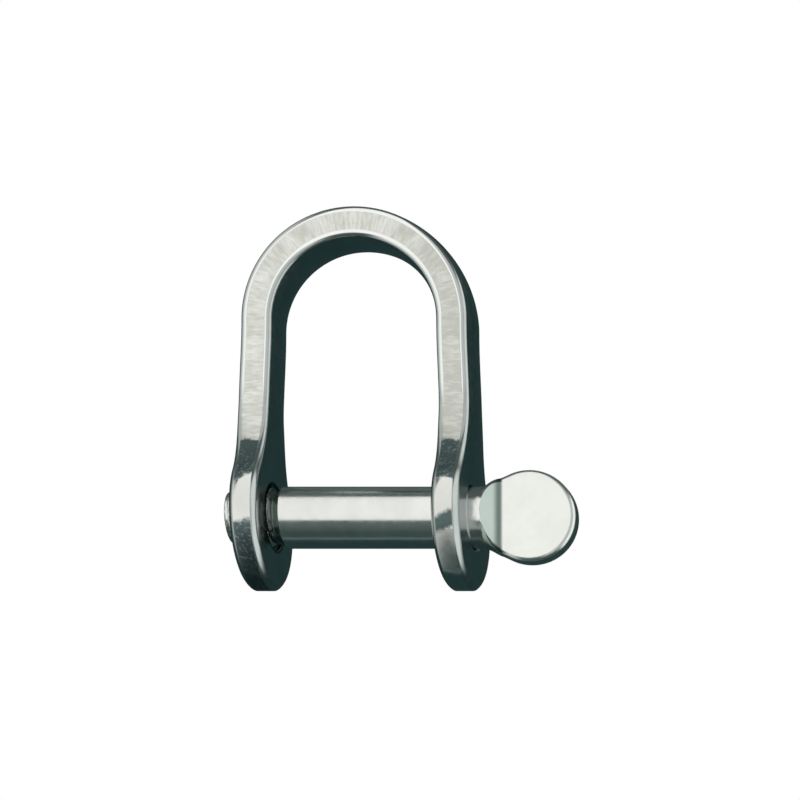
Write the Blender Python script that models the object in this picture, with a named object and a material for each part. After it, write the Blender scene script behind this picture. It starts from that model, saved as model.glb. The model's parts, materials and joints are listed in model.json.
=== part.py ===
"""Dee shackle: a strip bow with round ears, closed by a screw pin with a flat thumb head.

The shackle lies on the ground plane. X runs along the pin towards its head, Y from the pin
to the crown, and Z is square to the bow's flat plane. The design is drawn round the point
where the pin's axis crosses the bow's middle plane, then moved so that the origin is on
the ground under the middle of the whole shackle.
"""

from math import asin, cos, hypot, pi, radians, sin

import bmesh
import bpy
from mathutils import Vector

MM = 0.001

# The bow: one flat strip with round ends, bent into a U.
STRIP_THICKNESS = 2.55 * MM  # at its edges
STRIP_CROWNING = 0.22 * MM  # how far the middle of each broad face stands over its edges
STRIP_WIDTH = 4.5 * MM
EDGE_ROUND = 0.35 * MM
INSIDE_WIDTH = 13.2 * MM  # where the crown starts
CROWN_CENTRE = 15.98 * MM  # from the pin's axis
EAR_GAP = 14.36 * MM  # between the ears: the bow closes a little towards its crown
EAR_THICKNESS = 2.3 * MM
EAR_DROP = 0.2 * MM  # the ear's middle is this far below its bore
EAR_HALF_LENGTH = 5.75 * MM
EAR_HALF_WIDTH = 5.3 * MM
EAR_FILLET = 12.0 * MM  # between the ear's outline and the strip's edge
FLAT_END = 3.0 * MM  # from the pin's axis: the ear is flat up to here
STRIP_START = 8.0 * MM  # and the leg has the strip's full section from here

# The screw pin: shank, threaded end and flat round head in one piece.
PIN_RADIUS = 2.5 * MM
THREAD_CREST = 2.45 * MM
THREAD_ROOT = 2.05 * MM
THREAD_PITCH = 0.8 * MM
THREAD_RELIEF = 0.65 * MM  # from the threaded ear to the full shank
TIP_LENGTH = 1.3 * MM  # how far the pin comes out of the threaded ear
TIP_CHAMFER = 0.4 * MM
NECK_START = 0.3 * MM  # from the ear's outer face to where the round shank ends
WEDGE_START = 1.04 * MM  # and to where the head starts to thin
WEDGE_END = 2.36 * MM
HEAD_HALF_LENGTH = 3.9 * MM
HEAD_HALF_WIDTH = 3.85 * MM
HEAD_CENTRE = 4.72 * MM  # from the ear's outer face
HEAD_HALF_THICKNESS = 0.85 * MM
HEAD_ROUND = 0.45 * MM
NECK_FILLET = 8.0 * MM

# The bores, with the play that lets the pin run.
PLAIN_BORE_RADIUS = 2.6 * MM
THREADED_BORE_RADIUS = 2.55 * MM
BORE_CHAMFER = 0.15 * MM

# How finely round stretches are divided.
EAR_STEPS = 12  # a quarter of the ear's outline
FILLET_STEPS = 7
LEG_STEPS = 5
CROWN_STEPS = 16  # a quarter turn of the crown
BORE_SIDES = 40
QUARTER_STEPS = 7  # a quarter of the pin's circumference
RIM_STEPS = 3  # of those, the ones on the rim of the head
STEPS_PER_TURN = 8  # along one turn of thread
HEAD_STEPS = 9  # a quarter of the head's outline
FACE_SHARES = (0.25, 0.75, 1.0)  # where a broad face is divided, from its middle to its edge

CROWN_RADIUS = (INSIDE_WIDTH + STRIP_THICKNESS) / 2 + STRIP_CROWNING
EAR_MIDDLE = (EAR_GAP + EAR_THICKNESS) / 2
EAR_INNER = EAR_GAP / 2
EAR_OUTER = EAR_INNER + EAR_THICKNESS
PIN_START = -EAR_OUTER - TIP_LENGTH
SHANK_START = -EAR_INNER + THREAD_RELIEF
HEAD_MIDDLE = EAR_OUTER + HEAD_CENTRE
PIN_END = HEAD_MIDDLE + HEAD_HALF_LENGTH
BOW_START = -EAR_DROP - EAR_HALF_LENGTH
BOW_END = CROWN_CENTRE + CROWN_RADIUS + STRIP_THICKNESS / 2 + STRIP_CROWNING
PIN_PLACE = Vector((-(PIN_START + PIN_END) / 2, -(BOW_START + BOW_END) / 2, EAR_HALF_WIDTH))


class RoundEnd:
    """The edge of a strip that widens through a fillet into an oval end.

    Places are measured along the strip from the oval's middle, and across it from the
    strip's middle line. Each entry is (along, across, out_along, out_across): a point of
    the edge, and the direction that the edge faces there.
    """

    def __init__(self, strip_half, fillet, half_length, half_width):
        self.strip_half = strip_half
        self.radius = fillet
        self.half_length = half_length
        self.half_width = half_width
        self.meeting = self.find_meeting()
        along, _, out_along, _ = self.oval(self.meeting)
        self.fillet_start = along + fillet * out_along

    def oval(self, turn):
        """An entry on the oval, where turn is 0 at the far end of the strip."""
        out = Vector((-self.half_width * cos(turn), self.half_length * sin(turn))).normalized()
        return -self.half_length * cos(turn), self.half_width * sin(turn), *out

    def find_meeting(self):
        """The turn at which the oval meets the fillet, found by halving."""
        low, high = pi / 2, pi
        for _ in range(50):
            turn = (low + high) / 2
            _, across, _, out_across = self.oval(turn)
            wide = across + self.radius * out_across > self.strip_half + self.radius
            low, high = (turn, high) if wide else (low, turn)
        return low

    def fillet(self, along):
        """An entry on the fillet."""
        lean = asin((self.fillet_start - along) / self.radius)
        return along, self.strip_half + self.radius * (1.0 - cos(lean)), sin(lean), cos(lean)

    def end_entries(self, steps):
        """The oval's entries from its far end to the fillet, its widest point among them."""
        turns = spread(0.0, pi / 2, steps) + spread(pi / 2, self.meeting, steps // 2)[1:]
        return [self.oval(turn) for turn in turns]


def clear_scene():
    for old in list(bpy.data.objects):
        bpy.data.objects.remove(old, do_unlink=True)


def steel(name, colour, roughness):
    """A plain metallic material."""
    made = bpy.data.materials.new(name)
    made.use_nodes = True
    shader = made.node_tree.nodes["Principled BSDF"]
    shader.inputs["Base Color"].default_value = (*colour, 1.0)
    shader.inputs["Metallic"].default_value = 1.0
    shader.inputs["Roughness"].default_value = roughness
    return made


def smooth_step(value, low, high):
    """0 below low, 1 above high, and an even S between them."""
    part = min(max((value - low) / (high - low), 0.0), 1.0)
    return part * part * (3.0 - 2.0 * part)


def spread(low, high, steps):
    """Evenly spaced values from low to high, both included."""
    return [low + (high - low) * i / steps for i in range(steps + 1)]


def loft(loops, capped=()):
    """A mesh with a quad between each pair of neighbours on each pair of loops.

    Where a loop folds flat onto itself, its points merge and close the surface. The loops
    whose numbers are in capped get a flat face.
    """
    mesh = bmesh.new()
    rings = [[mesh.verts.new(point) for point in loop] for loop in loops]
    for ring, following in zip(rings, rings[1:]):
        count = len(ring)
        for i in range(count):
            j = (i + 1) % count
            mesh.faces.new((ring[i], ring[j], following[j], following[i]))
    for number in capped:
        mesh.faces.new(rings[number])
    bmesh.ops.remove_doubles(mesh, verts=mesh.verts, dist=1e-7)
    bmesh.ops.dissolve_degenerate(mesh, edges=mesh.edges, dist=1e-7)
    return mesh


def add_object(name, mesh, material):
    """An object at the pin's axis, shaded smooth between its sharp edges."""
    bmesh.ops.recalc_face_normals(mesh, faces=mesh.faces)
    data = bpy.data.meshes.new(name)
    mesh.to_mesh(data)
    mesh.free()
    data.shade_smooth()
    data.set_sharp_from_angle(angle=radians(35))
    if material:
        data.materials.append(material)
    made = bpy.data.objects.new(name, data)
    made.location = PIN_PLACE
    bpy.context.scene.collection.objects.link(made)
    return made


def blank_edge():
    """Half of the flat blank's edge, from the ear's end to the middle of the crown.

    Places along it are measured from the pin's axis, on the strip's middle surface.
    """
    half = STRIP_WIDTH / 2
    ear = RoundEnd(half, EAR_FILLET, EAR_HALF_LENGTH, EAR_HALF_WIDTH)
    entries = ear.end_entries(EAR_STEPS)
    places = spread(entries[-1][0], ear.fillet_start, FILLET_STEPS)[1:]
    entries += [ear.fillet(along) for along in places]
    edge = [(along - EAR_DROP, *rest) for along, *rest in entries]
    leg = spread(edge[-1][0], CROWN_CENTRE, LEG_STEPS)[1:]
    crown = spread(CROWN_CENTRE, CROWN_CENTRE + CROWN_RADIUS * pi / 2, CROWN_STEPS)[1:]
    return edge + [(along, half, 0.0, 1.0) for along in leg + crown]


def leg_middle(along):
    """How far the strip's middle surface is from the bow's middle plane, on a leg."""
    closing = smooth_step(along, STRIP_START, CROWN_CENTRE)
    return EAR_MIDDLE + (CROWN_RADIUS - EAR_MIDDLE) * closing


def bend(along, height):
    """X and Y, on the +X leg, of a point over the strip's middle surface once it is bent.

    along is measured on that surface, and height away from the bow.
    """
    if along > CROWN_CENTRE:
        turn = (along - CROWN_CENTRE) / CROWN_RADIUS
        radius = CROWN_RADIUS + height
        return radius * cos(turn), CROWN_CENTRE + radius * sin(turn)
    middle = leg_middle(along)
    step = 0.01 * MM
    rise = leg_middle(along + step) - middle
    scale = height / hypot(step, rise)
    return middle + scale * step, along - scale * rise


def broad_face(along, across, half, crowning):
    """Half of a broad face, from near its middle to its edge: (along, across, height)."""
    middle = FACE_SHARES[0]
    points = []
    for share in FACE_SHARES:
        fall = ((share - middle) / (1.0 - middle)) ** 2
        points.append((along, share * across, half + crowning * (1.0 - fall)))
    return points


def bow_loop(along, across, out_along, out_across):
    """The section of the bow at one point of its edge, all the way round."""
    on_strip = smooth_step(along, FLAT_END, STRIP_START)
    half = (EAR_THICKNESS + (STRIP_THICKNESS - EAR_THICKNESS) * on_strip) / 2
    inner_along = along - EDGE_ROUND * out_along
    inner_across = across - EDGE_ROUND * out_across
    outside = broad_face(inner_along, inner_across, half, STRIP_CROWNING * on_strip)
    outside.append((along, across, half - EDGE_ROUND))
    section = outside + [(a, c, -height) for a, c, height in reversed(outside)]
    side = [(*bend(a, height), c) for a, c, height in section]
    return side + [(x, y, -z) for x, y, z in reversed(side)]


def bore_profile():
    """(X, radius) along the tool that cuts both bores and breaks their edges."""
    spare = 1.0 * MM
    threaded = (-EAR_OUTER, -EAR_INNER, THREADED_BORE_RADIUS)
    plain = (EAR_INNER, EAR_OUTER, PLAIN_BORE_RADIUS)
    profile = []
    for start, end, radius in (threaded, plain):
        mouth = radius + BORE_CHAMFER + spare
        profile.append((start - spare, mouth))
        profile.append((start + BORE_CHAMFER, radius))
        profile.append((end - BORE_CHAMFER, radius))
        profile.append((end + spare, mouth))
    return profile


def bore_cutter():
    turns = spread(0.0, 2 * pi, BORE_SIDES)[:-1]
    loops = [[(x, r * cos(turn), r * sin(turn)) for turn in turns] for x, r in bore_profile()]
    cutter = add_object("bore_cutter", loft(loops, capped=(0, -1)), None)
    cutter.hide_render = True
    cutter.display_type = "WIRE"
    return cutter


def make_bow(material):
    mesh = loft([bow_loop(*entry) for entry in blank_edge()])
    bow = add_object("bow", mesh, material)
    mirror = bow.modifiers.new("other_leg", "MIRROR")
    mirror.use_axis = (True, False, False)
    mirror.use_clip = True
    mirror.merge_threshold = 0.00001
    cut = bow.modifiers.new("bores", "BOOLEAN")
    cut.operation = "DIFFERENCE"
    cut.solver = "EXACT"
    cut.object = bore_cutter()
    return bow


def thread_height(x, turn):
    """1 on the crest of the thread and 0 in its root, fading out where the thread ends."""
    wave = 0.5 + 0.5 * cos(2 * pi * x / THREAD_PITCH - turn)
    fade = smooth_step(x, SHANK_START - THREAD_RELIEF, SHANK_START - 0.3 * THREAD_RELIEF)
    return wave * (1.0 - fade)


def shank_radius(x, turn):
    """The pin's radius up to the neck: thread, bare relief, then the full shank."""
    thread = THREAD_ROOT + (THREAD_CREST - THREAD_ROOT) * thread_height(x, turn)
    end_cone = THREAD_CREST - TIP_CHAMFER + (x - PIN_START)
    full = PIN_RADIUS - max(SHANK_START + EDGE_ROUND - x, 0.0)
    return min(thread, end_cone) if x < SHANK_START else full


def shank_loop(x):
    loop = []
    for i in range(4 * QUARTER_STEPS):
        turn = 2 * pi * i / (4 * QUARTER_STEPS)
        radius = shank_radius(x, turn)
        loop.append((x, radius * cos(turn), radius * sin(turn)))
    return loop


def shank_places():
    """Where the shank's loops stand, from the threaded tip to the neck."""
    turns = (SHANK_START - PIN_START) / THREAD_PITCH
    threaded = spread(PIN_START, SHANK_START - 0.01 * MM, round(turns * STEPS_PER_TURN))
    full = [SHANK_START, SHANK_START + EDGE_ROUND, -EAR_INNER / 3, EAR_INNER / 3, EAR_INNER]
    return threaded + full + [EAR_OUTER]


def head_edge():
    """Half of the head's outline, from the ear to its far end.

    The loops on the neck stand at the ear and where the wedge starts and ends.
    """
    head = RoundEnd(PIN_RADIUS, NECK_FILLET, HEAD_HALF_LENGTH, HEAD_HALF_WIDTH)
    disc = head.end_entries(HEAD_STEPS)
    places = spread(NECK_START, WEDGE_START, 2) + spread(WEDGE_START, WEDGE_END, 4)[1:]
    entries = [head.fillet(HEAD_CENTRE - place) for place in places] + disc[::-1]
    return [(HEAD_MIDDLE - x, y, -out_x, out_y) for x, y, out_x, out_y in entries]


def wedge_height(x):
    """Half the head's thickness: it thins evenly from the neck to the flat disc."""
    start, end = EAR_OUTER + WEDGE_START, EAR_OUTER + WEDGE_END
    part = min(max((x - start) / (end - start), 0.0), 1.0)
    return PIN_RADIUS + (HEAD_HALF_THICKNESS - PIN_RADIUS) * part


def head_quarter(x, y, out_x, out_y):
    """A quarter of the head's section at one point of its edge, from rim to middle.

    On the neck the section is the pin's circle cut off by the wedge. By the end of the
    wedge it has turned into the disc's rounded rim and flat face.
    """
    flat = smooth_step(x, EAR_OUTER, EAR_OUTER + WEDGE_END)
    quarter = []
    for i in range(QUARTER_STEPS + 1):
        turn = pi / 2 * i / QUARTER_STEPS
        on_rim = pi / 2 * min(i / RIM_STEPS, 1.0)
        inset = HEAD_ROUND * (1.0 - cos(on_rim))
        inwards = max(i - RIM_STEPS, 0) / (QUARTER_STEPS - RIM_STEPS)
        disc_y = (y - inset * out_y) * (1.0 - inwards)
        rim_z = HEAD_HALF_THICKNESS - HEAD_ROUND * (1.0 - sin(on_rim)) if i else 0.0
        height = min(PIN_RADIUS * sin(turn), wedge_height(x))
        if i <= RIM_STEPS:
            height += (rim_z - height) * flat
        across = PIN_RADIUS * cos(turn)
        across += (disc_y - across) * flat
        quarter.append((x - inset * out_x * flat, across, height))
    return quarter


def head_loop(x, y, out_x, out_y):
    """The head's section, all the way round, in the order of shank_loop."""
    first = head_quarter(x, y, out_x, out_y)
    second = [(px, -py, pz) for px, py, pz in reversed(first[:-1])]
    upper = first + second
    lower = [(px, py, -pz) for px, py, pz in reversed(upper[1:-1])]
    return upper + lower


def make_pin(material):
    loops = [shank_loop(x) for x in shank_places()]
    loops += [head_loop(*entry) for entry in head_edge()]
    return add_object("screw_pin", loft(loops, capped=(0,)), material)


def main():
    clear_scene()
    make_bow(steel("strip_steel", (0.60, 0.60, 0.58), 0.28))
    make_pin(steel("pin_steel", (0.66, 0.67, 0.66), 0.22))


main()
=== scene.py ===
"""The looks of the dee shackle: its fine meshes, steel, floor, light and camera.

X runs along the pin towards its head, Y from the pin to the crown of the bow, and Z is up.
Both pieces are drawn round the point where the pin's axis crosses the bow's middle plane,
and stand where the frame has it.
"""

import json
from math import asin, cos, hypot, pi, radians, sin, sqrt

import bmesh
import bpy
from mathutils import Matrix, Vector


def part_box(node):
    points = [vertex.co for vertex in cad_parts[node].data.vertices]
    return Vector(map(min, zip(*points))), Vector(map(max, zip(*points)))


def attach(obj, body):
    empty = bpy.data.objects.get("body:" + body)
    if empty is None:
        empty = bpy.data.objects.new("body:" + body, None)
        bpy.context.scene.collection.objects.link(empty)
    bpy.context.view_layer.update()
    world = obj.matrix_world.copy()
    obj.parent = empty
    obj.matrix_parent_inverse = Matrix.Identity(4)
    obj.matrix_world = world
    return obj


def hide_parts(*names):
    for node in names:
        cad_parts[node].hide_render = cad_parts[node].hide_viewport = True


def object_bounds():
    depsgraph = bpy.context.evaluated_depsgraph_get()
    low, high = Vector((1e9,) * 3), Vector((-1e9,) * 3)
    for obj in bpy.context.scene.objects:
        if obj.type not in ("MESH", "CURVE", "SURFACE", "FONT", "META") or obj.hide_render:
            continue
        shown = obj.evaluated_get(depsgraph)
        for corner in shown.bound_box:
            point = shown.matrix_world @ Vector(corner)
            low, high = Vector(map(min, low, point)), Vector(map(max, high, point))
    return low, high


MM = 0.001

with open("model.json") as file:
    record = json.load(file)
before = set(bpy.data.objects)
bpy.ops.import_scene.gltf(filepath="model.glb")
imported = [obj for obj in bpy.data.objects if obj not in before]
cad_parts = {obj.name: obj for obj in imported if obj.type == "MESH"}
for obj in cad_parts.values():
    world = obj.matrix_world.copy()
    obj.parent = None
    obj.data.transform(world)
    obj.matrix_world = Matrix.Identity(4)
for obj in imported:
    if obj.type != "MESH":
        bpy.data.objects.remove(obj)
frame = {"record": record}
cad_low, cad_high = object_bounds()
bow_low, bow_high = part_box("bow")
pin_low, pin_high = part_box("screw_pin")
mounts = {mount["name"]: mount["pos_m"] for mount in frame["record"]["mounts"]}
left_face = mounts["threaded_ear_inner_face"][0]
right_face = mounts["plain_ear_inner_face"][0]

# Places that come from the frame.
CENTRE = Vector(((left_face + right_face) / 2, *((pin_low + pin_high) / 2)[1:]))
EAR_INNER = (right_face - left_face) / 2
EAR_HALF_WIDTH = (bow_high.z - bow_low.z) / 2
EAR_END = CENTRE.y - bow_low.y
BOW_END = bow_high.y - CENTRE.y
PIN_START = pin_low.x - CENTRE.x
PIN_END = pin_high.x - CENTRE.x
HEAD_HALF_WIDTH = (pin_high.y - pin_low.y) / 2
PIN_RADIUS = (pin_high.z - pin_low.z) / 2

# The bow.
STRIP_THICKNESS = 2.55 * MM
STRIP_CROWNING = 0.22 * MM
STRIP_WIDTH = 4.5 * MM
STRIP_ROUND = 0.6 * MM
STRIP_ROUND_DEPTH = 0.38 * MM
EAR_ROUND = 0.45 * MM
EAR_ROUND_DEPTH = 0.5 * MM
INSIDE_WIDTH = 13.2 * MM
EAR_THICKNESS = 2.3 * MM
EAR_DROP = 0.2 * MM
EAR_FILLET = 12.0 * MM
FLAT_END = 3.0 * MM
STRIP_START = 8.0 * MM

CROWN_RADIUS = (INSIDE_WIDTH + STRIP_THICKNESS) / 2 + STRIP_CROWNING
CROWN_CENTRE = BOW_END - CROWN_RADIUS - STRIP_THICKNESS / 2 - STRIP_CROWNING
EAR_MIDDLE = EAR_INNER + EAR_THICKNESS / 2
EAR_OUTER = EAR_INNER + EAR_THICKNESS

# The bores. The threaded one is clear up to its radius, and its grooves are cut outside it.
PLAIN_BORE_RADIUS = 2.6 * MM
THREADED_BORE_RADIUS = 2.55 * MM
TAPPED_ROOT = 2.78 * MM
BORE_CHAMFER = 0.15 * MM

# The pin.
THREAD_CREST = 2.45 * MM
THREAD_ROOT = 2.05 * MM
THREAD_PITCH = 0.8 * MM
THREAD_FLAT = 0.19  # The flat crest's share of the pitch, and the flat root's.
THREAD_RELIEF = 0.65 * MM
THREAD_FADE = 0.7 * THREAD_RELIEF
TIP_CHAMFER = 0.4 * MM
SHOULDER = 0.35 * MM
NECK_START = 0.3 * MM
WEDGE_START = 1.04 * MM
WEDGE_END = 2.36 * MM
HEAD_HALF_LENGTH = 3.9 * MM
HEAD_HALF_THICKNESS = 0.85 * MM
HEAD_ROUND = 0.45 * MM
FOLD_SOFTNESS = 0.12 * MM
NECK_FILLET = 8.0 * MM

SHANK_START = -EAR_INNER + THREAD_RELIEF
HEAD_MIDDLE = PIN_END - HEAD_HALF_LENGTH

# How finely round stretches are divided.
EAR_STEPS = 40
FILLET_STEPS = 26
LEG_STEPS = 16
CROWN_STEPS = 56
FACE_STEPS = 8
EDGE_STEPS = 9
BORE_SIDES = 96
QUARTER_STEPS = 30
RIM_STEPS = 18
STEPS_PER_TURN = 20
SHANK_STEPS = 24
NECK_STEPS = 6
HEAD_STEPS = 40
WEDGE_STEPS = 18

# An edge stays sharp where its faces turn by more degrees than this.
SHARP_ON_BOW = 35
SHARP_ON_PIN = 28

# The bore tool sticks out of the ears by this much on each side.
TOOL_SPARE = 0.8 * MM

# The camera: where it looks from CENTRE, how high it stands over it, how wide its view is
# there, and how far to -X and to +Y a point is shifted for each unit that it is higher.
LOOK_PAST = Vector((3.26, 9.836, 0.0)) * MM
CAMERA_HEIGHT = 438 * MM
VIEW_WIDTH = 66.8 * MM
SENSOR_WIDTH = 36.0
LEAN_X = 0.29
LEAN_Y = 0.31

# The backdrop: half the floor's width and the wall's radius in metres, and how far the floor
# lies under the CAD model.
STUDIO_RADIUS = 1.5
FLOOR_DROP = 0.05 * MM


def smooth_step(value, low, high):
    """0 below low, 1 above high, and an even S between them."""
    part = min(max((value - low) / (high - low), 0.0), 1.0)
    return part * part * (3.0 - 2.0 * part)


def spread(low, high, steps):
    """Evenly spaced values from low to high, both included."""
    return [low + (high - low) * i / steps for i in range(steps + 1)]


class RoundEnd:
    """The edge of a strip that widens through a fillet into an oval end.

    Each entry is (along, across, out_along, out_across): a point of the edge, measured
    along the strip from the oval's middle and across from the strip's, and the direction
    that the edge faces there.
    """

    def __init__(self, strip_half, fillet, half_length, half_width):
        self.strip_half = strip_half
        self.radius = fillet
        self.half_length = half_length
        self.half_width = half_width
        self.meeting = self.find_meeting()
        along, _, out_along, _ = self.oval(self.meeting)
        self.fillet_start = along + fillet * out_along

    def oval(self, turn):
        """An entry on the oval, where turn is 0 at the far end of the strip."""
        out = Vector((-self.half_width * cos(turn), self.half_length * sin(turn))).normalized()
        return -self.half_length * cos(turn), self.half_width * sin(turn), *out

    def find_meeting(self):
        """The turn at which the oval meets the fillet, found by halving."""
        low, high = pi / 2, pi
        for _ in range(50):
            turn = (low + high) / 2
            _, across, _, out_across = self.oval(turn)
            wide = across + self.radius * out_across > self.strip_half + self.radius
            low, high = (turn, high) if wide else (low, turn)
        return low

    def fillet(self, along):
        """An entry on the fillet."""
        lean = asin(min((self.fillet_start - along) / self.radius, 1.0))
        return along, self.strip_half + self.radius * (1.0 - cos(lean)), sin(lean), cos(lean)

    def end_entries(self, steps):
        """The oval's entries from its far end to the fillet, its widest point among them."""
        turns = spread(0.0, pi / 2, steps) + spread(pi / 2, self.meeting, steps // 2)[1:]
        return [self.oval(turn) for turn in turns]


def loft(loops, capped=()):
    """A mesh with a quad between neighbours on neighbouring loops."""
    mesh = bmesh.new()
    rings = [[mesh.verts.new(point) for point in loop] for loop in loops]
    for ring, following in zip(rings, rings[1:]):
        count = len(ring)
        for i in range(count):
            j = (i + 1) % count
            mesh.faces.new((ring[i], ring[j], following[j], following[i]))
    for number in capped:
        mesh.faces.new(rings[number])
    bmesh.ops.remove_doubles(mesh, verts=mesh.verts, dist=1e-7)
    bmesh.ops.dissolve_degenerate(mesh, edges=mesh.edges, dist=1e-7)
    bmesh.ops.recalc_face_normals(mesh, faces=mesh.faces)
    return mesh


def add_object(name, mesh):
    """An object in the scene that holds the mesh."""
    data = bpy.data.meshes.new(name)
    mesh.to_mesh(data)
    mesh.free()
    piece = bpy.data.objects.new(name, data)
    bpy.context.scene.collection.objects.link(piece)
    return piece


def smooth_between(piece, sharp_angle):
    """Shades the piece smooth, except over its sharp edges."""
    piece.data.shade_smooth()
    piece.data.set_sharp_from_angle(angle=radians(sharp_angle))


def even_normals(piece):
    """Keeps large flat faces flat up to the rounded edges beside them."""
    even = piece.modifiers.new("even_normals", "WEIGHTED_NORMAL")
    even.keep_sharp = True


# ---- The bow ----


def blank_edge():
    """Half of the blank's edge, from the ear's end to the crown, along from the pin's axis."""
    half = STRIP_WIDTH / 2
    ear = RoundEnd(half, EAR_FILLET, EAR_END - EAR_DROP, EAR_HALF_WIDTH)
    entries = ear.end_entries(EAR_STEPS)
    places = spread(entries[-1][0], ear.fillet_start, FILLET_STEPS)[1:]
    entries += [ear.fillet(along) for along in places]
    edge = [(along - EAR_DROP, *rest) for along, *rest in entries]
    leg = spread(edge[-1][0], CROWN_CENTRE, LEG_STEPS)[1:]
    crown = spread(CROWN_CENTRE, CROWN_CENTRE + CROWN_RADIUS * pi / 2, CROWN_STEPS)[1:]
    return edge + [(along, half, 0.0, 1.0) for along in leg + crown]


def leg_middle(along):
    """How far the strip's middle surface is from the bow's middle plane, on a leg."""
    closing = smooth_step(along, STRIP_START, CROWN_CENTRE)
    return EAR_MIDDLE + (CROWN_RADIUS - EAR_MIDDLE) * closing


def bend(along, height):
    """X and Y, on the +X leg, of a point over the strip's middle surface once it is bent."""
    if along > CROWN_CENTRE:
        turn = (along - CROWN_CENTRE) / CROWN_RADIUS
        radius = CROWN_RADIUS + height
        return radius * cos(turn), CROWN_CENTRE + radius * sin(turn)
    middle = leg_middle(along)
    step = 0.01 * MM
    rise = leg_middle(along + step) - middle
    scale = height / hypot(step, rise)
    return middle + scale * step, along - scale * rise


def bow_loop(along, across, out_along, out_across):
    """The section of the bow at one point of its edge, all the way round.

    Its edges are rounded on the strip, and nearer to a bevel on the ears.
    """
    on_strip = smooth_step(along, FLAT_END, STRIP_START)
    half = (EAR_THICKNESS + (STRIP_THICKNESS - EAR_THICKNESS) * on_strip) / 2
    rounding = EAR_ROUND + (STRIP_ROUND - EAR_ROUND) * on_strip
    depth = EAR_ROUND_DEPTH + (STRIP_ROUND_DEPTH - EAR_ROUND_DEPTH) * on_strip
    bevelled = 1.5 - 0.5 * on_strip
    flat_across = across - depth * out_across
    flat_along = along - depth * out_along
    outside = []
    for share in spread(0.0, 1.0, FACE_STEPS)[1:]:
        height = half + STRIP_CROWNING * on_strip * (1.0 - share ** 2)
        outside.append((flat_along, share * flat_across, height))
    for turn in spread(0.0, pi / 2, EDGE_STEPS)[1:]:
        inset = depth * (1.0 - max(sin(turn), 0.0) ** bevelled)
        height = half - rounding * (1.0 - max(cos(turn), 0.0) ** bevelled)
        outside.append((along - inset * out_along, across - inset * out_across, height))
    section = outside + [(a, c, -height) for a, c, height in reversed(outside)]
    side = [(*bend(a, height), c) for a, c, height in section]
    return side + [(x, y, -z) for x, y, z in reversed(side)]


def bow_mesh():
    """One loft from the end of one ear, over the crown, to the end of the other."""
    leg = [bow_loop(*entry) for entry in blank_edge()]
    other = [[(-x, y, z) for x, y, z in loop] for loop in reversed(leg[:-1])]
    return loft(leg + other)


def thread_height(x, turn):
    """1 on the flat crest of a right-hand thread, 0 in its flat root, and straight between.

    On the pin the flanks stand about 64 degrees apart. The bore's grooves are shallower, and
    theirs stand about 94 degrees apart.
    """
    phase = (x / THREAD_PITCH - turn / (2 * pi)) % 1.0
    off_crest = 2.0 * min(phase, 1.0 - phase)
    return min(max((1.0 - THREAD_FLAT - off_crest) / (1.0 - 2 * THREAD_FLAT), 0.0), 1.0)


def bore_radius(x, turn):
    """The radius of the tool that cuts the tapped bore, the plain one and their chamfers.

    Outside the ears it widens on as a cone, in line with the chamfer.
    """
    tapped = x < 0.0
    base = THREADED_BORE_RADIUS if tapped else PLAIN_BORE_RADIUS
    mouth = base + BORE_CHAMFER
    depth = min(abs(x) - EAR_INNER, EAR_OUTER - abs(x))
    if tapped:
        base += (TAPPED_ROOT - THREADED_BORE_RADIUS) * thread_height(x, turn)
    return max(base, mouth - depth)


def bore_tool():
    """One closed tool along the pin's axis, through both ears."""
    stations = round((EAR_THICKNESS + 2 * TOOL_SPARE) / THREAD_PITCH * STEPS_PER_TURN)
    tapped = spread(-EAR_OUTER - TOOL_SPARE, -EAR_INNER + TOOL_SPARE, stations)
    plain = spread(EAR_INNER - TOOL_SPARE, EAR_OUTER + TOOL_SPARE, stations)
    turns = spread(0.0, 2 * pi, BORE_SIDES)[:-1]
    loops = []
    for x in tapped + plain:
        radii = [(bore_radius(x, turn), turn) for turn in turns]
        loops.append([(x, radius * cos(turn), radius * sin(turn)) for radius, turn in radii])
    return add_object("bore_tool", loft(loops, capped=(0, -1)))


def apply_modifiers(piece):
    """Turns the piece's modifiers into mesh."""
    depsgraph = bpy.context.evaluated_depsgraph_get()
    data = bpy.data.meshes.new_from_object(piece.evaluated_get(depsgraph))
    piece.modifiers.clear()
    old = piece.data
    piece.data = data
    bpy.data.meshes.remove(old)


def make_bow():
    """The bent strip with both bores cut through its ears."""
    bow = add_object("bow_strip", bow_mesh())
    bow.location = CENTRE
    tool = bore_tool()
    tool.location = CENTRE
    cut = bow.modifiers.new("bores", "BOOLEAN")
    cut.operation = "DIFFERENCE"
    cut.solver = "EXACT"
    cut.object = tool
    apply_modifiers(bow)
    bpy.data.objects.remove(tool, do_unlink=True)
    smooth_between(bow, SHARP_ON_BOW)
    even_normals(bow)
    return bow


# ---- The pin ----


def shank_radius(x, turn):
    """The pin's radius up to the neck: thread, bare relief, then the full shank."""
    relief = SHANK_START - THREAD_RELIEF
    fade = smooth_step(x, relief, relief + THREAD_FADE)
    height = thread_height(x, turn) * (1.0 - fade)
    thread = THREAD_ROOT + (THREAD_CREST - THREAD_ROOT) * height
    end_cone = THREAD_CREST - TIP_CHAMFER + (x - PIN_START)
    full = PIN_RADIUS - max(SHANK_START + SHOULDER - x, 0.0)
    return min(thread, end_cone) if x < SHANK_START else full


def shank_loop(x):
    """The shank's section at x, all the way round."""
    count = 4 * QUARTER_STEPS
    turns = [2 * pi * i / count for i in range(count)]
    radii = [(shank_radius(x, turn), turn) for turn in turns]
    return [(x, radius * cos(turn), radius * sin(turn)) for radius, turn in radii]


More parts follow.
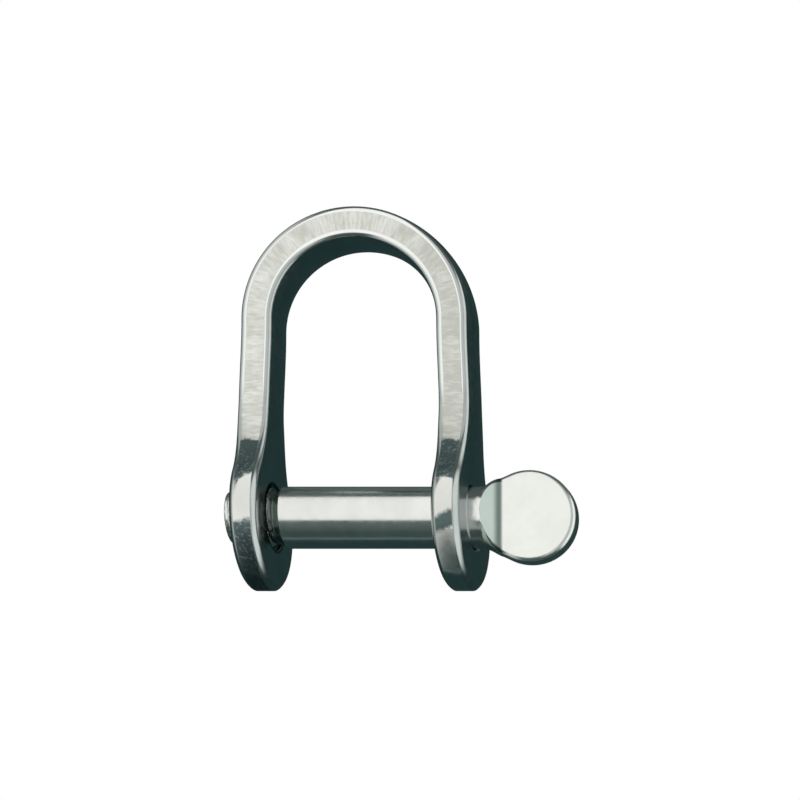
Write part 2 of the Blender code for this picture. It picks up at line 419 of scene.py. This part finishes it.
def shank_places():
    """Where the shank's loops stand, from the threaded tip to the neck."""
    turns = (SHANK_START - PIN_START) / THREAD_PITCH
    threaded = spread(PIN_START, SHANK_START - 0.01 * MM, round(turns * STEPS_PER_TURN))
    shoulder = [SHANK_START, SHANK_START + SHOULDER]
    return threaded + shoulder + spread(SHANK_START + 2 * SHOULDER, EAR_OUTER, SHANK_STEPS)


def head_edge():
    """Half of the head's outline, from the ear to its far end."""
    centre = HEAD_MIDDLE - EAR_OUTER
    head = RoundEnd(PIN_RADIUS, NECK_FILLET, HEAD_HALF_LENGTH, HEAD_HALF_WIDTH)
    disc = head.end_entries(HEAD_STEPS)
    neck = spread(NECK_START, WEDGE_START, NECK_STEPS)
    wedge = spread(WEDGE_START, WEDGE_END, WEDGE_STEPS)[1:]
    entries = [head.fillet(centre - place) for place in neck + wedge] + disc[::-1]
    return [(HEAD_MIDDLE - x, y, -out_x, out_y) for x, y, out_x, out_y in entries]


def wedge_height(x):
    """Half the head's thickness: it thins evenly from the neck, then levels off in a fold."""
    start, end = EAR_OUTER + WEDGE_START, EAR_OUTER + WEDGE_END
    rise = (PIN_RADIUS - HEAD_HALF_THICKNESS) * (end - x) / (end - start)
    rise = (rise + hypot(rise, FOLD_SOFTNESS)) / 2
    return min(HEAD_HALF_THICKNESS + rise, PIN_RADIUS)


def head_quarter(x, y, out_x, out_y):
    """A quarter of the head's section at one point of its edge, from rim to middle.

    On the neck it is an oval, which the wedge cuts off flat. By the end of the wedge its
    side has turned into the disc's rounded rim.
    """
    neck_end = EAR_OUTER + WEDGE_START
    wedge_end = EAR_OUTER + WEDGE_END
    half = PIN_RADIUS + (y - PIN_RADIUS) * smooth_step(x, EAR_OUTER, wedge_end)
    gathered = smooth_step(x, EAR_OUTER, neck_end)
    on_disc = smooth_step(x, neck_end, wedge_end)
    top = wedge_height(x)
    corner = asin(top / PIN_RADIUS)
    quarter = []
    for i in range(QUARTER_STEPS + 1):
        on_rim = min(i / RIM_STEPS, 1.0)
        inwards = max(i - RIM_STEPS, 0) / (QUARTER_STEPS - RIM_STEPS) if x > neck_end else 0.0
        even = pi / 2 * i / QUARTER_STEPS
        turn = even + (corner * on_rim - even) * gathered
        inset = HEAD_ROUND * (1.0 - cos(pi / 2 * on_rim))
        across = half * cos(turn)
        across += (half - inset * out_y - across) * on_disc
        height = PIN_RADIUS * sin(turn)
        rim_height = top - HEAD_ROUND * (1.0 - sin(pi / 2 * on_rim)) if i else 0.0
        height += (rim_height - height) * on_disc
        quarter.append((x - inset * out_x * on_disc, across * (1.0 - inwards), height))
    return quarter


def head_loop(x, y, out_x, out_y):
    """The head's section, all the way round, in the order of shank_loop."""
    first = head_quarter(x, y, out_x, out_y)
    second = [(px, -py, pz) for px, py, pz in reversed(first[:-1])]
    upper = first + second
    lower = [(px, py, -pz) for px, py, pz in reversed(upper[1:-1])]
    return upper + lower


def make_pin():
    """One loft from the threaded tip to the head's far rim."""
    loops = [shank_loop(x) for x in shank_places()]
    loops += [head_loop(*entry) for entry in head_edge()]
    pin = add_object("pin_turned", loft(loops, capped=(0,)))
    pin.location = CENTRE
    smooth_between(pin, SHARP_ON_PIN)
    even_normals(pin)
    return pin


# ---- Steel ----

# The strip's colours. A pair is mixed from its first to its second.
BROAD_FACE = (0.49, 0.52, 0.515, 1.0), (0.60, 0.63, 0.62, 1.0)
SHEARED_FACE = (0.53, 0.54, 0.50, 1.0), (0.79, 0.80, 0.77, 1.0)
POLISHED_FACE = (0.66, 0.67, 0.645, 1.0), (0.73, 0.74, 0.715, 1.0)
# The edges' painted highlight.
EDGE_HIGHLIGHT = (0.85, 0.86, 0.85, 1.0)
SCALY_PATCH = (0.11, 0.155, 0.155, 1.0), (0.50, 0.58, 0.58, 1.0)
# Painted shade inside the tapped bore.
TAPPED_BORE_SHADE = (0.10, 0.13, 0.12, 1.0)

# The pin's colours.
SHANK = (0.72, 0.73, 0.72, 1.0), (0.80, 0.81, 0.795, 1.0)
HEAD = (0.79, 0.805, 0.78, 1.0), (0.85, 0.86, 0.84, 1.0)
WEDGE = (0.44, 0.51, 0.475, 1.0), (0.50, 0.57, 0.535, 1.0)
# Painted shade for the valley at the wedge's fold.
CREASE_SHADE = (0.16, 0.19, 0.175, 1.0)
# Painted shade for the thread's relief groove.
RELIEF_SHADE = (0.15, 0.19, 0.17, 1.0)

# A slanted end of a patch on an ear's rim moves this far for each unit across the rim.
PATCH_SLANT = 0.45

# Painted shade darkens the tapped bore up to this radius, and a thin ring of the ear's face round
# it.
BORE_SHADE_RADIUS = TAPPED_ROOT + BORE_CHAMFER


class Shader:
    """Short calls for the nodes of one material or world."""

    def __init__(self, owner):
        owner.use_nodes = True
        self.nodes = owner.node_tree.nodes
        self.links = owner.node_tree.links

    def put(self, socket, value):
        """Links the value to the socket if it is a node's output, or else sets it."""
        if hasattr(value, "is_output"):
            self.links.new(value, socket)
        else:
            socket.default_value = value

    def math(self, operation, *values, clamp=False):
        """The result of a Math node."""
        node = self.nodes.new("ShaderNodeMath")
        node.operation = operation
        node.use_clamp = clamp
        for socket, value in zip(node.inputs, values):
            self.put(socket, value)
        return node.outputs[0]

    def distance(self, first, second):
        """The square root of the sum of both squares."""
        first = self.math("POWER", first, 2.0)
        second = self.math("POWER", second, 2.0)
        return self.math("SQRT", self.math("ADD", first, second))

    def ramp(self, value, low, high, to_low=0.0, to_high=1.0):
        """to_low where value is under low, to_high where it is over high, smooth between."""
        node = self.nodes.new("ShaderNodeMapRange")
        node.interpolation_type = "SMOOTHSTEP"
        for name, entry in (("Value", value), ("From Min", low), ("From Max", high)):
            self.put(node.inputs[name], entry)
        self.put(node.inputs["To Min"], to_low)
        self.put(node.inputs["To Max"], to_high)
        return node.outputs[0]

    def band(self, value, low, high, soft):
        """1 between low and high, falling to 0 over soft outside them."""
        rise = self.ramp(value, low - soft, low)
        fall = self.ramp(value, high, high + soft, 1.0, 0.0)
        return self.math("MULTIPLY", rise, fall)

    def split(self, vector):
        """The X, Y and Z of a vector."""
        node = self.nodes.new("ShaderNodeSeparateXYZ")
        self.put(node.inputs[0], vector)
        return tuple(node.outputs)

    def join(self, x, y, z):
        """The vector of an X, a Y and a Z."""
        node = self.nodes.new("ShaderNodeCombineXYZ")
        for socket, value in zip(node.inputs, (x, y, z)):
            self.put(socket, value)
        return node.outputs[0]

    def noise(self, vector, scale, detail=3.0, roughness=0.55):
        """A Noise Texture's value, with about scale features to each unit of the vector."""
        node = self.nodes.new("ShaderNodeTexNoise")
        self.put(node.inputs["Vector"], vector)
        node.inputs["Scale"].default_value = scale
        node.inputs["Detail"].default_value = detail
        node.inputs["Roughness"].default_value = roughness
        return node.outputs["Fac"]

    def mix(self, factor, first, second):
        """The first colour where factor is 0, and the second where it is 1."""
        node = self.nodes.new("ShaderNodeMix")
        node.data_type = "RGBA"
        self.put(node.inputs[0], factor)
        self.put(node.inputs[6], first)
        self.put(node.inputs[7], second)
        return node.outputs[2]

    def bump(self, height, depth, strength, normal=None):
        """A normal that follows the height, laid over another normal if one is given."""
        node = self.nodes.new("ShaderNodeBump")
        node.inputs["Strength"].default_value = strength
        node.inputs["Distance"].default_value = depth
        self.put(node.inputs["Height"], height)
        if normal:
            self.put(node.inputs["Normal"], normal)
        return node.outputs[0]


def steel(name):
    """A metallic material: its Shader, its Principled node and its object coordinates."""
    made = bpy.data.materials.new(name)
    shader = Shader(made)
    principled = shader.nodes["Principled BSDF"]
    principled.inputs["Metallic"].default_value = 1.0
    place = shader.nodes.new("ShaderNodeTexCoord")
    return made, shader, principled, place


def ear_marks(shader, x, y, place):
    """Where the ears' rims are scaly, where they are dark, and where the plain one's is matt.

    The ends of the patches wander, and some are slanted. Here, threaded is 1 on the threaded
    ear and plain is 1 on the plain one.
    """
    wander = shader.noise(place.outputs["Object"], 900.0, detail=4.0)
    wander = shader.math("MULTIPLY", shader.math("SUBTRACT", wander, 0.5), 1.3 * MM)
    threaded = shader.ramp(x, 0.0, 0.1 * MM, 1.0, 0.0)
    plain = shader.math("SUBTRACT", 1.0, threaded)
    at = shader.math("ADD", y, wander)
    middle = shader.ramp(plain, 0.0, 1.0, -EAR_MIDDLE, EAR_MIDDLE)
    slant = shader.math("MULTIPLY", shader.math("SUBTRACT", x, middle), PATCH_SLANT)
    slanted = shader.math("SUBTRACT", at, slant)
    begin = shader.math("SUBTRACT", at, shader.math("MULTIPLY", slant, threaded))
    end = shader.ramp(at, 5.5 * MM, 5.75 * MM, 1.0, 0.0)
    upper = shader.math("MULTIPLY", shader.ramp(begin, 1.85 * MM, 2.1 * MM), end)
    lower = shader.math("MULTIPLY", shader.ramp(at, -1.9 * MM, -1.4 * MM, 1.0, 0.0), threaded)
    scaly = shader.math("MAXIMUM", upper, lower)
    waist = shader.math("MULTIPLY", shader.band(slanted, -2.0 * MM, -1.3 * MM, 0.45 * MM), plain)
    matt = shader.band(at, -4.9 * MM, -2.5 * MM, 0.3 * MM)
    return scaly, shader.math("MAXIMUM", scaly, waist), shader.math("MULTIPLY", matt, plain)


def strip_grain(shader, x, y, z):
    """Strokes and scuffs that are longest across the strip, and follow it round its bend."""
    over = shader.math("MAXIMUM", shader.math("SUBTRACT", y, CROWN_CENTRE), 0.0)
    beside = shader.math("ABSOLUTE", x)
    turn = shader.math("ARCTAN2", over, beside)
    straight = shader.math("MINIMUM", y, CROWN_CENTRE)
    along = shader.math("ADD", straight, shader.math("MULTIPLY", turn, CROWN_RADIUS))
    out = shader.distance(over, beside)
    strokes_at = shader.join(shader.math("MULTIPLY", along, 5.0), out, z)
    scuffs_at = shader.join(shader.math("MULTIPLY", along, 2.5), out, z)
    return shader.noise(strokes_at, 900.0, detail=4.0), shader.noise(scuffs_at, 420.0)


def strip_faces(shader, y, place):
    """Where the strip is an ear's rim, where an edge with a painted highlight, where it has a
    polish, those edges included, and where sheared.
    """
    facing_x, _, facing_z = shader.split(place.outputs["Normal"])
    facing_x = shader.math("ABSOLUTE", facing_x)
    facing_z = shader.math("ABSOLUTE", facing_z)
    by_ear = shader.ramp(y, 8.0 * MM, 11.0 * MM, 1.0, 0.0)
    rim = shader.math("MULTIPLY", shader.ramp(facing_x, 0.12, 0.4, 1.0, 0.0), by_ear)
    narrow = shader.math("MAXIMUM", shader.ramp(facing_z, 0.75, 0.97), rim)
    # The edges, found by how far their normals turn, are where a highlight is painted.
    ear_edge = shader.math("MULTIPLY", shader.ramp(facing_x, 0.10, 0.45), by_ear)
    strip_edge = shader.ramp(facing_z, 0.994, 0.9985, 1.0, 0.0)
    strip_edge = shader.math("SUBTRACT", strip_edge, by_ear, clamp=True)
    edge = shader.math("MULTIPLY", shader.math("MAXIMUM", ear_edge, strip_edge), narrow)
    front = shader.ramp(y, 2.5 * MM, 3.5 * MM, 1.0, 0.0)
    polish_and_edge_highlight = shader.math("MAXIMUM", edge, shader.math("MULTIPLY", front, rim))
    sheared = shader.math("MULTIPLY", narrow, shader.math("SUBTRACT", 1.0, polish_and_edge_highlight))
    return rim, edge, polish_and_edge_highlight, sheared


def strip_steel():
    """Tumbled strip: strokes across its sheared narrow faces, smoother broad ones.

    The edges have a smoother polish with a painted highlight over it, and the front of each ear
    has a bright polish. Round the ears' rims lie dark patches that the polishing has missed, and
    painted shade darkens the tapped bore and a thin ring round its mouth.
    """
    made, shader, principled, place = steel("strip_steel_fine")
    x, y, z = shader.split(place.outputs["Object"])
    strokes, scuffs = strip_grain(shader, x, y, z)
    mottle = shader.noise(place.outputs["Object"], 1500.0, detail=5.0, roughness=0.65)
    speckle = shader.noise(place.outputs["Object"], 4200.0, detail=2.0)
    clouds = shader.noise(place.outputs["Object"], 260.0)
    rim, edge, polish_and_edge_highlight, sheared = strip_faces(shader, y, place)
    scaly, dark, matt = ear_marks(shader, x, y, place)
    dark = shader.math("MULTIPLY", dark, rim)
    matt = shader.math("MULTIPLY", matt, rim)

    tone = shader.ramp(clouds, 0.3, 0.7)
    blotch = shader.math("MULTIPLY", tone, 0.6)
    blotch = shader.math("ADD", blotch, shader.math("MULTIPLY", scuffs, 0.4))
    broad_colour = shader.mix(blotch, *BROAD_FACE)
    worn = shader.ramp(strokes, 0.32, 0.68, 0.0, 0.55)
    worn = shader.math("ADD", worn, shader.ramp(scuffs, 0.32, 0.68, 0.0, 0.45))
    # The sheared faces grow darker towards +X.
    darker_towards_plus_x = shader.ramp(x, 2.0 * MM, 8.0 * MM, 0.0, 0.4)
    worn = shader.math("SUBTRACT", worn, darker_towards_plus_x, clamp=True)
    sheared_colour = shader.mix(worn, *SHEARED_FACE)
    # The edges get a painted highlight over the polish of the ears' fronts.
    polish_and_highlight_colour = shader.mix(edge, shader.mix(tone, *POLISHED_FACE), EDGE_HIGHLIGHT)
    specks = shader.math("MULTIPLY", shader.ramp(speckle, 0.50, 0.78), scaly)
    specks = shader.math("MULTIPLY", specks, shader.ramp(clouds, 0.35, 0.60))
    dark_colour = shader.mix(specks, *SCALY_PATCH)
    colour = shader.mix(sheared, broad_colour, sheared_colour)
    colour = shader.mix(polish_and_edge_highlight, colour, polish_and_highlight_colour)
    colour = shader.mix(dark, colour, dark_colour)
    # Painted shade over the tapped bore and a thin ring round its mouth.
    from_axis = shader.distance(y, z)
    tapped = shader.ramp(from_axis, BORE_SHADE_RADIUS - 0.06 * MM, BORE_SHADE_RADIUS, 1.0, 0.0)
    tapped = shader.math("MULTIPLY", tapped, shader.ramp(x, 0.0, 0.1 * MM, 1.0, 0.0))
    colour = shader.mix(tapped, colour, TAPPED_BORE_SHADE)
    shader.put(principled.inputs["Base Color"], colour)

    grain = shader.ramp(mottle, 0.35, 0.65, 0.0, 0.08)
    rough = shader.math("ADD", shader.ramp(sheared, 0.0, 1.0, 0.15, 0.27), grain)
    rough = shader.math("ADD", rough, shader.math("MULTIPLY", dark, 0.30))
    rough = shader.math("ADD", rough, shader.math("MULTIPLY", matt, 0.25))
    rough = shader.math("SUBTRACT", rough, shader.math("MULTIPLY", polish_and_edge_highlight, 0.08))
    shader.put(principled.inputs["Roughness"], rough)
    weight = shader.ramp(sheared, 0.0, 1.0, 0.06, 1.0)
    normal = shader.bump(shader.math("MULTIPLY", strokes, weight), 0.012 * MM, 0.6)
    grainy = shader.ramp(shader.math("ADD", sheared, dark), 0.0, 1.0, 0.15, 1.0)
    normal = shader.bump(shader.math("MULTIPLY", mottle, grainy), 0.006 * MM, 0.5, normal)
    normal = shader.bump(shader.math("MULTIPLY", speckle, dark), 0.02 * MM, 0.5, normal)
    shader.put(principled.inputs["Normal"], normal)
    return made


def pin_steel():
    """Turned and given a polish: faint turning marks round the shank, satin on the pressed head.

    The wedge's flat faces are darker. Painted shade darkens the valley at the wedge's fold and
    the relief beside the thread.
    """
    made, shader, principled, place = steel("pin_steel_fine")
    x, y, z = shader.split(place.outputs["Object"])
    clouds = shader.noise(place.outputs["Object"], 300.0)
    mottle = shader.noise(place.outputs["Object"], 1400.0, detail=5.0, roughness=0.65)
    across = shader.math("MULTIPLY", y, 0.08)
    marks = shader.noise(shader.join(x, across, shader.math("MULTIPLY", z, 0.08)), 9000.0)
    fold = EAR_OUTER + WEDGE_END
    on_head = shader.ramp(x, fold - 0.1 * MM, fold + 0.1 * MM)
    on_wedge = shader.band(x, EAR_OUTER + WEDGE_START, fold, 0.1 * MM)
    facing = shader.math("ABSOLUTE", shader.split(place.outputs["Normal"])[2])
    on_wedge = shader.math("MULTIPLY", on_wedge, shader.band(facing, 0.55, 0.72, 0.08))
    # Painted shade in the valley where the wedge folds into the head.
    crease_shade = shader.ramp(x, fold - 0.5 * MM, fold - 0.06 * MM)
    beyond = shader.ramp(x, fold + 0.02 * MM, fold + 0.30 * MM, 1.0, 0.0)
    crease_shade = shader.math("MULTIPLY", crease_shade, beyond)
    crease_shade = shader.math("MULTIPLY", crease_shade, shader.ramp(facing, 0.3, 0.6))
    tone = shader.ramp(clouds, 0.3, 0.7)
    colour = shader.mix(on_head, shader.mix(tone, *SHANK), shader.mix(tone, *HEAD))
    colour = shader.mix(on_wedge, colour, shader.mix(tone, *WEDGE))
    colour = shader.mix(crease_shade, colour, CREASE_SHADE)
    # Painted shade over the relief groove beside the thread.
    relief = shader.band(x, SHANK_START - 0.55 * MM, SHANK_START - 0.02 * MM, 0.08 * MM)
    colour = shader.mix(relief, colour, RELIEF_SHADE)
    shader.put(principled.inputs["Base Color"], colour)
    grain = shader.ramp(mottle, 0.35, 0.65, 0.0, 0.06)
    rough = shader.math("ADD", shader.ramp(on_head, 0.0, 1.0, 0.15, 0.20), grain)
    shader.put(principled.inputs["Roughness"], rough)
    turned = shader.math("MULTIPLY", marks, shader.ramp(on_head, 0.0, 1.0, 1.0, 0.1))
    normal = shader.bump(turned, 0.003 * MM, 0.5)
    normal = shader.bump(mottle, 0.004 * MM, 0.4, normal)
    shader.put(principled.inputs["Normal"], normal)
    return made


# ---- Surroundings ----

# The studio's brightness, by what stands there.
OVERHEAD_LIGHT = (1.05, 1.05, 1.02, 1.0)
RIGHT_CARD = (1.04, 1.07, 1.05, 1.0)
LEFT_CARD = (0.52, 0.55, 0.54, 1.0), (0.95, 0.97, 0.95, 1.0)
GAP = (0.53, 0.56, 0.55, 1.0)
FRONT_LINE = (0.12, 0.165, 0.16, 1.0)
BEHIND = (0.105, 0.13, 0.125, 1.0)
BARE_ROOM = (0.021, 0.046, 0.046, 1.0), (0.045, 0.075, 0.07, 1.0)
BARE_CEILING = (0.11, 0.14, 0.135, 1.0)


def make_light():
    """A soft studio: a large light overhead, a pale card on each side, dim in front and behind.

    The card beyond the head stands apart from the light, and the gap between is grey. A faint
    line of light lies low in front. Every place is a direction, so x, y and z are parts of 1.
    """
    world = bpy.data.worlds.new("studio")
    bpy.context.scene.world = world
    shader = Shader(world)
    sky = shader.nodes["Background"]
    place = shader.nodes.new("ShaderNodeTexCoord")
    x, y, z = shader.split(place.outputs["Generated"])
    rise = shader.math("MAXIMUM", z, 0.03)
    over_x = shader.math("DIVIDE", x, rise)
    over_y = shader.math("DIVIDE", y, rise)
    above = shader.ramp(z, 0.02, 0.08)
    overhead = shader.math("MULTIPLY", shader.band(over_x, -0.72, 0.10, 0.08), above)
    overhead = shader.math("MULTIPLY", overhead, shader.band(over_y, -0.40, 2.6, 0.12))
    right = shader.math("MULTIPLY", shader.ramp(x, 0.62, 0.76), shader.ramp(z, -0.62, -0.10))
    right = shader.math("MULTIPLY", right, shader.ramp(z, 0.50, 0.58, 1.0, 0.0))
    left = shader.ramp(x, -0.60, -0.42, 1.0, 0.0)
    left = shader.math("MULTIPLY", left, shader.ramp(z, -0.28, 0.0))
    left = shader.math("MULTIPLY", left, shader.ramp(z, 0.80, 0.95, 1.0, 0.0))
    gap = shader.math("MULTIPLY", shader.ramp(x, 0.0, 0.2), shader.ramp(z, 0.45, 0.56))
    dim = shader.mix(shader.ramp(z, -0.45, -0.10), *BARE_ROOM)
    behind = shader.math("MULTIPLY", shader.ramp(y, 0.30, 0.60), shader.ramp(z, -0.88, -0.60))
    dim = shader.mix(behind, dim, BEHIND)
    line = shader.ramp(y, -0.8, -0.5, 1.0, 0.0)
    line = shader.math("MULTIPLY", line, shader.band(z, -0.20, -0.12, 0.07))
    dim = shader.mix(line, dim, FRONT_LINE)
    colour = shader.mix(shader.ramp(z, 0.2, 0.85), dim, BARE_CEILING)
    colour = shader.mix(gap, colour, GAP)
    colour = shader.mix(right, colour, RIGHT_CARD)
    colour = shader.mix(left, colour, shader.mix(shader.ramp(z, 0.35, 0.65), *LEFT_CARD))
    colour = shader.mix(overhead, colour, OVERHEAD_LIGHT)
    shader.put(sky.inputs["Color"], colour)


def plain_white(name):
    """White that glows by itself, so nothing shades it."""
    made = bpy.data.materials.new(name)
    shader = Shader(made)
    shader.nodes.clear()
    glow = shader.nodes.new("ShaderNodeEmission")
    out = shader.nodes.new("ShaderNodeOutputMaterial")
    shader.links.new(glow.outputs[0], out.inputs["Surface"])
    return made


def make_backdrop():
    """The pale floor and, far round it, the studio's pale wall. Neither shows in the steel."""
    white = plain_white("pale_paint")
    floor = bmesh.new()
    bmesh.ops.create_grid(floor, x_segments=1, y_segments=1, size=STUDIO_RADIUS)
    wall = bmesh.new()
    bmesh.ops.create_icosphere(wall, subdivisions=4, radius=STUDIO_RADIUS)
    for name, mesh, height in (("floor", floor, cad_low.z - FLOOR_DROP), ("wall", wall, 0.0)):
        thing = add_object(name, mesh)
        thing.data.materials.append(white)
        thing.location.z = height
        thing.visible_glossy = False
        thing.visible_diffuse = False
        thing.visible_transmission = False
        thing.visible_shadow = False


def make_camera():
    """A long lens that looks straight down, and a slant that shows the +X and -Y sides.

    The slant shifts what is higher against the shared middle height, as a view camera
    with its back kept level with the shackle does, so circles in that plane stay round.
    """
    data = bpy.data.cameras.new("camera")
    data.sensor_width = SENSOR_WIDTH
    stretch = sqrt(1.0 + LEAN_X ** 2 + LEAN_Y ** 2)
    data.lens = data.sensor_width * CAMERA_HEIGHT / VIEW_WIDTH * stretch
    data.clip_end = 20.0
    camera = bpy.data.objects.new("camera", data)
    holder = bpy.data.objects.new("camera_holder", None)
    for thing in (camera, holder):
        bpy.context.scene.collection.objects.link(thing)
    slant = Matrix.Identity(4)
    slant[0][2], slant[0][3] = -LEAN_X, LEAN_X * CENTRE.z
    slant[1][2], slant[1][3] = LEAN_Y, -LEAN_Y * CENTRE.z
    camera.parent = holder
    camera.matrix_parent_inverse = slant.inverted()
    camera.matrix_basis = Matrix.Translation(CENTRE + LOOK_PAST + Vector((0.0, 0.0, CAMERA_HEIGHT)))
    bpy.context.scene.camera = camera


def dress(piece, material, node, body):
    """Finishes a piece that stands for a CAD node."""
    piece.data.materials.clear()
    piece.data.materials.append(material)
    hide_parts(node)
    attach(piece, body)


make_camera()
make_backdrop()
make_light()
dress(make_bow(), strip_steel(), "bow", "bow")
dress(make_pin(), pin_steel(), "screw_pin", "pin")
bpy.context.scene.view_settings.view_transform = "Standard"
